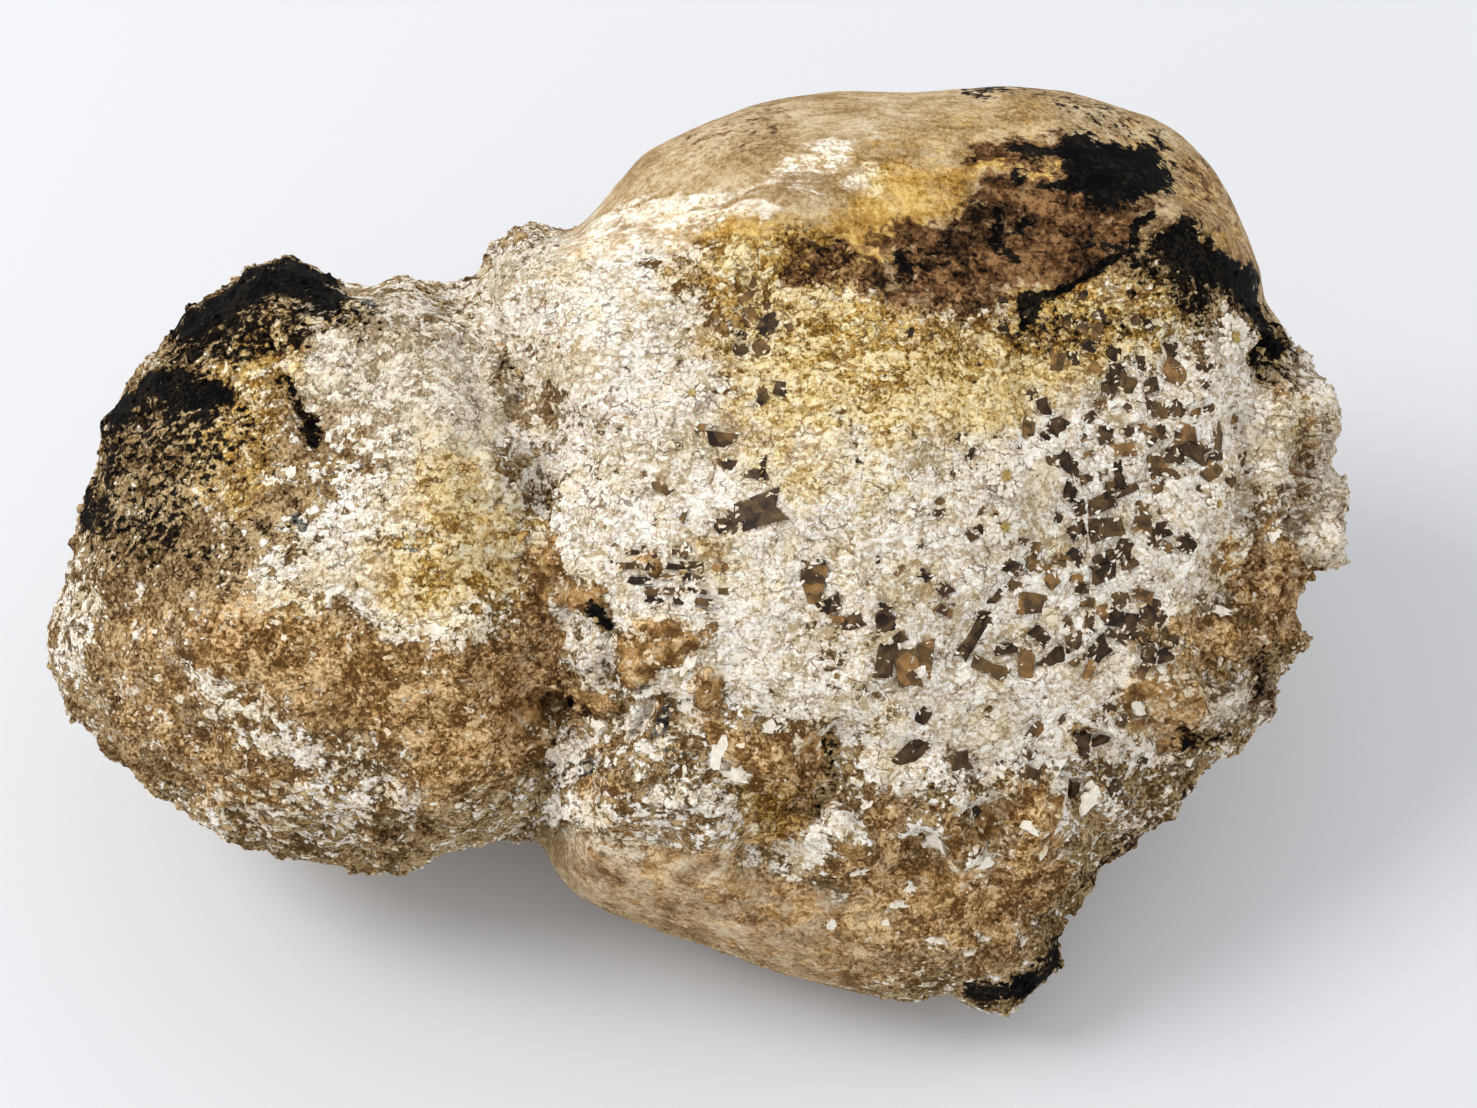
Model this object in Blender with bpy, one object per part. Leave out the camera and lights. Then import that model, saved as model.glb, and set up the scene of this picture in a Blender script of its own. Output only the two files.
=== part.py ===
"""Hokutolite: a two-lobed, water-worn cobble whose broad face is crusted with plumbian barite.

The cobble is one solid. It is modelled lying face up (x along its length, y up the face, z out of the
face, in millimetres), then leaned back, set on its small flat spot and scaled to metres.
"""

import math
import random

import bmesh
import bpy
import numpy as np
from mathutils import Matrix, Vector, noise
from mathutils.bvhtree import BVHTree

# Driving dimensions, in millimetres and degrees.
MM = 0.001
FACE_THICKNESS = 31.0  # from the girdle to the crown of the crusted face
BACK_THICKNESS = 39.0  # from the girdle to the crown of the bare back
LEAN = 40.0  # how far the face leans back from facing straight up
GROUND = -38.0  # height of the ground below the middle of the face
SPHERE_DETAIL = 7
STONE_TRIANGLES = 6500  # before the flat spot is cut and the crystals are added
SLAB = 200.0  # side of the block that cuts the flat spot

# The girdle is the stone's outline seen square to its face, clockwise from the left tip.
# The hub is the point in the neck from which all of the girdle can be seen.
HUB = (-11.5, 4.5)
GIRDLE = [
    (-74.0, -11.5), (-71.0, 1.0), (-67.2, 15.0), (-61.5, 22.2), (-56.2, 28.8), (-46.8, 33.2),
    (-40.5, 29.0), (-34.5, 31.0), (-27.2, 30.6), (-24.8, 34.4), (-18.8, 36.6), (-13.2, 34.8),
    (-7.0, 43.8), (6.6, 50.2), (20.5, 51.0), (37.8, 52.3), (50.1, 50.8), (60.2, 43.2),
    (64.6, 31.7), (66.5, 25.0), (71.5, 18.0), (72.8, 10.5), (74.3, 1.5), (68.5, -6.5),
    (68.3, -14.0), (63.0, -23.0), (56.5, -28.0), (47.8, -37.4), (42.2, -43.5), (38.5, -49.0),
    (32.0, -52.0), (21.0, -50.4), (17.0, -50.4), (0.8, -45.0), (-11.8, -39.8), (-16.0, -35.4),
    (-18.0, -33.2), (-23.5, -33.5), (-31.5, -37.5), (-42.5, -38.0), (-53.0, -34.9),
    (-61.5, -30.0), (-70.5, -21.0), (-73.2, -16.0),
]
GIRDLE_STEPS = 720
FACE_BLUR = 24.0  # degrees over which the outline is evened out towards the hub, on the face
BACK_BLUR = 8.0  # and behind the rim, on the back
BACK_INSET = 9.0  # degrees either way over which the back keeps inside the girdle's nearest parts

# Sculpting strokes: what each makes, the line it follows over the face, its reach and its lift.
FACE_STROKES = [
    ("neck cleft", [(-26, 29), (-21, 20), (-17, 8), (-18, -2), (-15, -18), (-17, -30)], 9.0, -5.5),
    ("left lobe crown", [(-50, -8)], 22.0, 3.0),
    ("horn ridge", [(-58, 20), (-47, 26)], 6.0, 2.2),
    ("pale dish", [(-36, 14)], 11.0, -2.2),
    ("amber shelf", [(-53, -8), (-40, -12), (-27, -13), (-19, -7)], 6.0, 1.6),
    ("dome", [(6, 38), (23, 40), (42, 39), (52, 32)], 13.0, 3.5),
    ("crust belly", [(21, 2)], 31.0, 3.0),
    ("right flank hollow", [(61, 16), (59, 2), (56, -12)], 5.0, -2.2),
    ("upper right knob", [(67, 14)], 5.5, 2.5),
    ("middle right knob", [(69, 2)], 5.5, 2.0),
    ("lower right knob", [(65, -12)], 4.0, 1.6),
    ("corner knob", [(58, -23)], 4.5, 1.6),
    ("lower lip", [(-9, -25), (3, -30), (17, -30), (32, -33), (44, -30)], 4.5, 1.8),
    ("amber hollow", [(7, -33), (11, -26), (15, -22)], 5.5, -4.5),
    ("middle hollow", [(23, -34)], 4.0, -2.2),
    ("right hollow", [(33, -30)], 3.5, -2.2),
    ("far right hollow", [(45, -24)], 3.5, -2.0),
    ("neck pit", [(-15, -19)], 2.4, -3.0),
]
BACK_STROKES = [
    ("heel", [(-4, -19), (14, -17)], 20.0, 5.0),
    ("back of the neck", [(-20, 16), (-19, -14)], 20.0, -4.0),
    ("back dimple", [(38, 26)], 15.0, -2.5),
    ("back boss", [(6, 26)], 16.0, 2.5),
    ("lobe boss", [(-50, 2)], 15.0, 2.0),
]

WANDER = 1.8  # how far the strokes' edges wander
CRUST_STEP = 0.9  # height of the crust's edge above the bare stone
CRUST_BORDER = [
    (-18.0, 30.0), (-10.0, 32.0), (0.0, 34.0), (11.0, 37.5), (20.0, 32.0), (27.0, 27.5),
    (38.0, 26.5), (46.0, 31.5), (51.0, 37.0), (57.0, 35.5), (65.0, 27.5),
]

# Where the crust is cragged: the line, its reach and the height of its knobs.
CRAGS = [
    ([(66, 22), (70, 4), (66, -12), (58, -26), (46, -38), (36, -48)], 13.0, 1.9),
    ([(-8, -28), (10, -32), (30, -36), (46, -30)], 9.0, 1.2),
    ([(-26, 30), (-18, 8), (-15, -20), (-18, -32)], 9.0, 1.5),
    ([(-72, -4), (-64, 18), (-47, 29)], 8.0, 1.0),
    ([(-70, -22), (-52, -34), (-26, -36)], 8.0, 1.0),
]
CRUST_KNOBS = 0.55  # height of the knobs on the rest of the crust
STONE_SWELLS = 1.3  # height of the broad swells, all over the stone
WEAR_ROUNDS = 30

# Crystal fields: middle, half sizes and how many places are tried; then single large tablets.
CRYSTAL_FIELDS = [
    ((47, 5), (14, 20), 300),
    ((27, -11), (14, 7), 70),
    ((-7, -6), (7, 6), 25),
    ((8, 23), (5, 8), 16),
    ((12, -6), (6, 5), 8),
    ((2, 7), (7, 7), 8),
]
LARGE_TABLETS = [(6.5, 2.5, 6.4), (-0.5, -14.0, 5.4), (24.0, -13.5, 5.2)]
TABLET_LENGTHS = (2.6, 4.6)
TABLET_ANGLE = 78.0  # the acute angle of barite's rhombic tablets
TABLET_THICKNESS = 0.5  # as a share of the tablet's length
TABLET_SHOWING = 0.1  # how far its middle stands out, as a share of its length
TABLET_TILTS = (6.0, 18.0)  # degrees off the surface
TABLET_GAP = 0.55  # least distance between two tablets, as a share of their two lengths
CRYSTAL_SEED = 5


def closed_curve(corners, steps_each):
    """Points along a smooth closed curve through the corners."""
    corners = np.array(corners, float)
    before, after = np.roll(corners, 1, axis=0), np.roll(corners, -1, axis=0)
    beyond = np.roll(corners, -2, axis=0)
    t = (np.arange(steps_each) / steps_each)[:, None, None]
    curve = 0.5 * (
        2 * corners
        + (after - before) * t
        + (2 * before - 5 * corners + 4 * after - beyond) * t**2
        + (3 * corners - before - 3 * after + beyond) * t**3
    )
    return curve.transpose(1, 0, 2).reshape(-1, 2)


def girdle_radii():
    """The girdle's distance from the hub at even angles: sharp, and evened out for the face and the back."""
    curve = closed_curve(GIRDLE, 12) - HUB
    angles = np.arctan2(curve[:, 1], curve[:, 0])
    order = np.argsort(angles)
    even = np.linspace(-math.pi, math.pi, GIRDLE_STEPS, endpoint=False)
    sharp = np.interp(even, angles[order], np.hypot(*curve[order].T), period=2 * math.pi)
    turn = np.degrees(np.minimum(even - even[0], 2 * math.pi - (even - even[0])))
    inset = round(BACK_INSET * GIRDLE_STEPS / 360.0)
    inner = np.min([np.roll(sharp, shift) for shift in range(-inset, inset + 1)], axis=0)
    evened = []
    for outline, blur in ((sharp, FACE_BLUR), (inner, BACK_BLUR)):
        kernel = np.exp(-0.5 * (turn / blur) ** 2)
        evened.append(np.fft.ifft(np.fft.fft(outline) * np.fft.fft(kernel / kernel.sum())).real)
    return even, sharp, *evened


def smoothstep(low, high, value):
    t = np.clip((value - low) / (high - low), 0.0, 1.0)
    return t * t * (3.0 - 2.0 * t)


def swell(sphere):
    """Moves a unit sphere's points out to the girdle and up to the two crowns."""
    even, *outlines = girdle_radii()
    angle = np.arctan2(sphere[:, 1], sphere[:, 0])
    reach = np.hypot(sphere[:, 0], sphere[:, 1])
    sharp, evened_face, evened_back = (np.interp(angle, even, o, period=2 * math.pi) for o in outlines)
    upper = sphere[:, 2] > 0
    edge = smoothstep(np.where(upper, 0.6, 0.9), 1.0, reach)
    radius = edge * sharp + (1.0 - edge) * np.where(upper, evened_face, evened_back)
    face = FACE_THICKNESS * np.sqrt(np.clip(1.0 - reach**2.2, 0.0, 1.0))
    back = -BACK_THICKNESS * np.clip(1.0 - reach**1.9, 0.0, 1.0) ** 0.6
    return np.column_stack([
        HUB[0] + radius * reach * np.cos(angle),
        HUB[1] + radius * reach * np.sin(angle),
        np.where(upper, face, back),
    ])


def normals_of(points, faces):
    """Unit vertex normals."""
    corners = points[faces]
    across = np.cross(corners[:, 1] - corners[:, 0], corners[:, 2] - corners[:, 0])
    summed = np.zeros_like(points)
    for corner in range(3):
        np.add.at(summed, faces[:, corner], across)
    return summed / np.linalg.norm(summed, axis=1, keepdims=True)


def distance_to(path, points):
    """Distance over the face from each point to a line, or to a single spot."""
    path = np.array(path, float)
    flat = points[:, :2]
    nearest = np.linalg.norm(flat - path[0], axis=1)
    for start, end in zip(path[:-1], path[1:]):
        along = end - start
        share = np.clip((flat - start) @ along / (along @ along), 0.0, 1.0)
        away = np.linalg.norm(flat - start - share[:, None] * along, axis=1)
        nearest = np.minimum(nearest, away)
    return nearest


def fade(path, reach, points):
    """1 on the line, easing to 0 at its reach."""
    return (1.0 - np.clip(distance_to(path, points) / reach, 0.0, 1.0) ** 2) ** 2


def carve(points, faces, strokes, side):
    """Raises or lowers the face (side 1) or the back (side -1) along each stroke."""
    wander = np.array([noise.noise_vector(Vector(point) / 6.0) for point in points]) * WANDER
    for _, path, reach, lift in strokes:
        normals = normals_of(points, faces)
        share = fade(path, reach, points + wander) * smoothstep(-0.35, 0.45, normals[:, 2] * side)
        points = points + normals * (share * lift)[:, None]
    return points


def crust_share(points, normals):
    """1 where the stone is crusted, 0 where it is bare and water-worn: the dome, the foot and the back."""
    x, y = points[:, 0], points[:, 1]
    border = np.interp(x, *np.transpose(CRUST_BORDER))
    dome = smoothstep(-1.5, 1.5, y - border) * smoothstep(-18.0, -12.0, x)
    foot = smoothstep(34.0, 42.0, -y) * smoothstep(-20.0, -6.0, x) * (1.0 - smoothstep(16.0, 32.0, x))
    return smoothstep(-0.45, 0.15, normals[:, 2]) * (1.0 - dome) * (1.0 - foot)


def wear(points, faces):
    """Rounds off the bare stone, as running water does."""
    share = 1.0 - crust_share(points, normals_of(points, faces))[:, None]
    corners = faces.ravel()
    neighbours = faces[:, (1, 2, 0)].ravel(), faces[:, (2, 0, 1)].ravel()
    counts = 2 * np.bincount(corners)[:, None]
    for _ in range(WEAR_ROUNDS):
        around = [sum(np.bincount(corners, points[n, axis]) for n in neighbours) for axis in range(3)]
        points = points + share * (np.column_stack(around) / counts - points)
    return points


def roughen(points, faces):
    """Broad swells all over, and knobs where the crust is."""
    normals = normals_of(points, faces)
    height = np.full(len(points), CRUST_KNOBS)
    for path, reach, knobs in CRAGS:
        height = np.maximum(height, knobs * fade(path, reach, points))
    crust = crust_share(points, normals)
    lift = np.empty(len(points))
    for i, point in enumerate(points):
        place = Vector(point)
        broad = noise.noise(place / 17.0)
        knobs = noise.noise(place / 5.0 + Vector((40.0, 0.0, 0.0)))
        lift[i] = STONE_SWELLS * broad + (crust[i] - 0.5) * CRUST_STEP + crust[i] * height[i] * knobs
    return points + normals * lift[:, None]


def cobble_mesh():
    """The cobble, face up, in millimetres."""
    form = bmesh.new()
    bmesh.ops.create_icosphere(form, subdivisions=SPHERE_DETAIL, radius=1.0)
    form.verts.ensure_lookup_table()
    sphere = np.array([v.co for v in form.verts])
    faces = np.array([[v.index for v in f.verts] for f in form.faces])
    points = swell(sphere)
    points = carve(points, faces, FACE_STROKES, 1)
    points = carve(points, faces, BACK_STROKES, -1)
    points = wear(points, faces)
    points = roughen(points, faces)
    for vertex, point in zip(form.verts, points):
        vertex.co = point
    mesh = bpy.data.meshes.new("hokutolite")
    form.to_mesh(mesh)
    form.free()
    mesh.shade_smooth()
    return mesh


def pose():
    """From the face-up modelling frame, in millimetres, to the resting pose, in metres."""
    lean = Matrix.Rotation(math.radians(LEAN), 4, "X")
    return Matrix.Scale(MM, 4) @ Matrix.Translation((0.0, 0.0, -GROUND)) @ lean


def tablet_spots(rng):
    """(x, y, length) of each crystal tablet on the face, none touching another."""
    spots = list(LARGE_TABLETS)
    for middle, half_sizes, tries in CRYSTAL_FIELDS:
        for _ in range(tries):
            out, turn = math.sqrt(rng.random()), rng.uniform(0.0, math.tau)
            x = middle[0] + half_sizes[0] * out * math.cos(turn)
            y = middle[1] + half_sizes[1] * out * math.sin(turn)
            length = rng.uniform(*TABLET_LENGTHS)
            if all(math.hypot(x - a, y - b) > TABLET_GAP * (length + c) for a, b, c in spots):
                spots.append((x, y, length))
    return spots


def add_tablet(form, place, length):
    """A rhombic prism, mostly sunk, with its broad face out."""
    half = length / 2
    width = half * math.tan(math.radians(TABLET_ANGLE / 2))
    top = TABLET_SHOWING * length
    bottom = top - TABLET_THICKNESS * length
    rings = [
        [form.verts.new(place @ Vector((x, y, z))) for x, y in ((half, 0), (0, width), (-half, 0), (0, -width))]
        for z in (bottom, top)
    ]
    form.faces.new(rings[1])
    form.faces.new(reversed(rings[0]))
    for i in range(4):
        j = (i + 1) % 4
        form.faces.new((rings[0][i], rings[0][j], rings[1][j], rings[1][i]))


def tablets_on(stone):
    """The crystal tablets, set into the face of the stone, as one mesh in metres."""
    rng = random.Random(CRYSTAL_SEED)
    surface = BVHTree.FromObject(stone, bpy.context.evaluated_depsgraph_get())
    to_pose = pose()
    down = (to_pose.to_3x3() @ Vector((0.0, 0.0, -1.0))).normalized()
    form = bmesh.new()
    for x, y, length in tablet_spots(rng):
        hit, normal, _, _ = surface.ray_cast(to_pose @ Vector((x, y, SLAB)), down)
        facing = normal.lerp(-down, 0.5).normalized().to_track_quat("Z", "Y")
        tilt = Matrix.Rotation(math.radians(rng.uniform(*TABLET_TILTS)), 4, "X")
        turn = Matrix.Rotation(rng.uniform(0.0, math.tau), 4, "Z")
        spin = Matrix.Rotation(rng.uniform(0.0, math.tau), 4, "Z")
        place = Matrix.Translation(hit) @ facing.to_matrix().to_4x4() @ turn @ tilt @ spin
        add_tablet(form, place @ Matrix.Scale(MM, 4), length)
    mesh = bpy.data.meshes.new("crystal tablets")
    form.to_mesh(mesh)
    form.free()
    return mesh


def add_object(name, mesh, helper=False):
    obj = bpy.data.objects.new(name, mesh)
    bpy.context.collection.objects.link(obj)
    if helper:
        obj.hide_render = True
        obj.display_type = "WIRE"
    return obj


def add_boolean(stone, other, operation):
    modifier = stone.modifiers.new(other.name, "BOOLEAN")
    modifier.operation = operation
    modifier.object = other
    other.parent = stone


def slab_mesh():
    """A block whose top is the ground."""
    form = bmesh.new()
    bmesh.ops.create_cube(form, size=SLAB * MM)
    bmesh.ops.translate(form, verts=form.verts, vec=(0.0, 0.0, -SLAB * MM / 2))
    mesh = bpy.data.meshes.new("ground")
    form.to_mesh(mesh)
    form.free()
    return mesh


def mineral_material():
    material = bpy.data.materials.new("hokutolite crust")
    material.use_nodes = True
    shader = material.node_tree.nodes["Principled BSDF"]
    shader.inputs["Base Color"].default_value = (0.62, 0.52, 0.36, 1.0)
    shader.inputs["Roughness"].default_value = 0.6
    shader.inputs["Metallic"].default_value = 0.0
    return material


def centre_on_origin(stone):
    """Stands the origin under the middle of the finished stone's box, on the ground."""
    bpy.context.view_layer.update()
    corners = np.array(stone.evaluated_get(bpy.context.evaluated_depsgraph_get()).bound_box)
    middle = (corners.min(axis=0) + corners.max(axis=0)) / 2
    stone.location = (-middle[0], -middle[1], -corners[:, 2].min())


def main():
    for obj in list(bpy.data.objects):
        bpy.data.objects.remove(obj, do_unlink=True)
    mesh = cobble_mesh()
    mesh.transform(pose())
    mesh.materials.append(mineral_material())
    stone = add_object("hokutolite", mesh)
    fewer = stone.modifiers.new("fewer faces", "DECIMATE")
    fewer.ratio = STONE_TRIANGLES / len(mesh.polygons)
    tablets = add_object("crystal_tablets", tablets_on(stone), helper=True)
    add_boolean(stone, tablets, "UNION")
    add_boolean(stone, add_object("ground", slab_mesh(), helper=True), "DIFFERENCE")
    centre_on_origin(stone)


main()
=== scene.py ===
"""Hokutolite: the crusted cobble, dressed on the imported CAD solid."""

import math

import bmesh
import bpy
import numpy as np
from mathutils import Matrix, Vector, kdtree, noise


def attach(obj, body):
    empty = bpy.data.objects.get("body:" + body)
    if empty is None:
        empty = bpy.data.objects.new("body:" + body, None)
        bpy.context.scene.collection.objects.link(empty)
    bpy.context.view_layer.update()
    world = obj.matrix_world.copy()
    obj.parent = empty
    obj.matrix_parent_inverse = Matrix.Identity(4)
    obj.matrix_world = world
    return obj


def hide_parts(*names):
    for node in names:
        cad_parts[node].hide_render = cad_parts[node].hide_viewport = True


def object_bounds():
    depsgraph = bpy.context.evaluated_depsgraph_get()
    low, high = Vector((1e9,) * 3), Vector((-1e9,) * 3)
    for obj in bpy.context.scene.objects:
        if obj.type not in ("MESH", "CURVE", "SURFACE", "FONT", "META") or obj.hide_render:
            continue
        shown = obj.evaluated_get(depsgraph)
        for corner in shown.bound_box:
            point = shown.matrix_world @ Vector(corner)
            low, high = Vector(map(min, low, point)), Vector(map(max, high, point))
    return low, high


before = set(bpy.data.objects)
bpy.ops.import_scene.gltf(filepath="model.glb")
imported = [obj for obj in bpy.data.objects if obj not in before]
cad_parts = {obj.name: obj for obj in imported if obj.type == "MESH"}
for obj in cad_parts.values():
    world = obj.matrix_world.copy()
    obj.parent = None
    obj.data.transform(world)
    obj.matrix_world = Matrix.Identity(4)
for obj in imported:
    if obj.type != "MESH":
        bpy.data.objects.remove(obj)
cad_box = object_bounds()

MM = 0.001
TURN = math.tau

# The face of the stone: a frame lying in its girdle plane, leaning back from level.
LEAN = 40.0
FACE_MIDDLE = (0.00009, 0.00106, 0.038)
FACE = Matrix.Translation(FACE_MIDDLE) @ Matrix.Rotation(math.radians(LEAN), 4, "X")

# The camera looks square at the face. Places on the face are named by their pixel in its 1477 x 1108 picture.
CAMERA_PLACE = (0.0044, -0.0016, 0.3303)
LENS, SENSOR = 70.0, 36.0
PICTURE = (1477, 1108)
PIXEL = 0.115 * MM  # one picture pixel at the stone's face

# The stone's even mesh: how near points are joined, the size of its voxels, and how they are smoothed.
WELD = 0.00001
VOXEL = 0.72 * MM
EVENING_ROUNDS, EVENING_SHARE = 9, 0.6

# Noise over the stone: wavelength in mm, octaves and seed.
FIELDS = {
    "wander across": (5.0, 3, 3.0),
    "wander down": (5.0, 3, 4.0),
    "overhang": (14.0, 3, 41.0),
    "gold in white": (8.0, 2, 13.0),
    "patches": (6.0, 3, 12.0),
    "frost behind": (16.0, 3, 43.0),
    "rust_and_shade behind": (13.0, 3, 44.0),
    "amber behind": (18.0, 3, 47.0),
    "gold behind": (19.0, 2, 45.0),
    "swells": (7.0, 2, 1.0),
    "ripples": (2.2, 2, 46.0),
    "lumps": (4.6, 3, 2.0),
    "bumps": (1.9, 2, 5.0),
    "ledges": (6.0, 2, 6.0),
    "clumps": (3.4, 2, 21.0),
    "flake patches": (4.0, 2, 15.0),
    "flake spins": (7.0, 1, 9.0),
    "grain patches": (6.0, 2, 31.0),
}
FIELD_ROUGHNESS, FIELD_LACUNARITY = 0.7, 2.1
SEED_SHIFT = (17.3, 5.1, -9.7)

# The stone's relief, in mm: everywhere, on the crust, and what a crag adds to that.
SWELL_HEIGHT, RIPPLE_HEIGHT = 0.16, 0.05
LUMP_HEIGHT, LUMP_ON_CRAG = 0.45, 0.8
BUMP_HEIGHT, BUMP_ON_CRAG = 0.24, 0.3
LEDGE_HEIGHT, LEDGE_STEPS = 0.9, 3.0
CLUMP_HEIGHT, CLUMP_ON_AMBER, CLUMP_ON_CRAG = 0.55, 0.8, 0.6
PIT_DEPTH = 0.42
SMOOTHED = 0.6  # how much smoother the crust is where it is clean or black

# The small pieces: the seed of each one's random draws, and how many there are, with the least gap in mm.
SEEDS = {
    "layout": 11, "crystals": 12, "rims": 3, "rim frames": 4,
    "flakes": 7, "grains": 23, "rosettes": 5, "chips": 29,
}
FLAKES, FLAKE_GAP = 8200, 0.5
GRAINS, GRAIN_GAP = 7600, 0.62
LEAST_HEIGHT = 2.2 * MM  # flakes and grains keep this clear of the floor


def srgb(*levels):
    """A linear colour from 0-255 screen levels."""
    scaled = [level / 255.0 for level in levels]
    return tuple(s / 12.92 if s <= 0.04045 else ((s + 0.055) / 1.055) ** 2.4 for s in scaled) + (1.0,)


def smoothstep(low, high, value):
    t = np.clip((value - low) / (high - low), 0.0, 1.0)
    return t * t * (3.0 - 2.0 * t)


def strokes(text, leading=2):
    """Rows of a table, one a line: the leading numbers, then a path of picture places."""
    rows = []
    for line in text.strip().splitlines():
        words = line.split()
        path = [tuple(map(float, word.split(","))) for word in words[leading:]]
        rows.append((*map(float, words[:leading]), path))
    return rows


def add_object(name, data):
    obj = bpy.data.objects.new(name, data)
    bpy.context.scene.collection.objects.link(obj)
    return obj


# ---- camera

camera_data = bpy.data.cameras.new("camera")
camera_data.lens = LENS
camera_data.sensor_width = SENSOR
camera_data.clip_start = 0.01
camera = add_object("camera", camera_data)
camera.matrix_world = FACE @ Matrix.Translation(CAMERA_PLACE)
bpy.context.scene.camera = camera


def picture_place(points):
    """The picture's pixel that each point is seen at."""
    inverse = np.array((FACE @ Matrix.Translation(CAMERA_PLACE)).inverted())
    local = points @ inverse[:3, :3].T + inverse[:3, 3]
    focal = LENS / SENSOR * PICTURE[0]
    return np.column_stack([
        PICTURE[0] / 2 - local[:, 0] / local[:, 2] * focal,
        PICTURE[1] / 2 + local[:, 1] / local[:, 2] * focal,
    ])


# ---- zones painted on the stone

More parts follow.
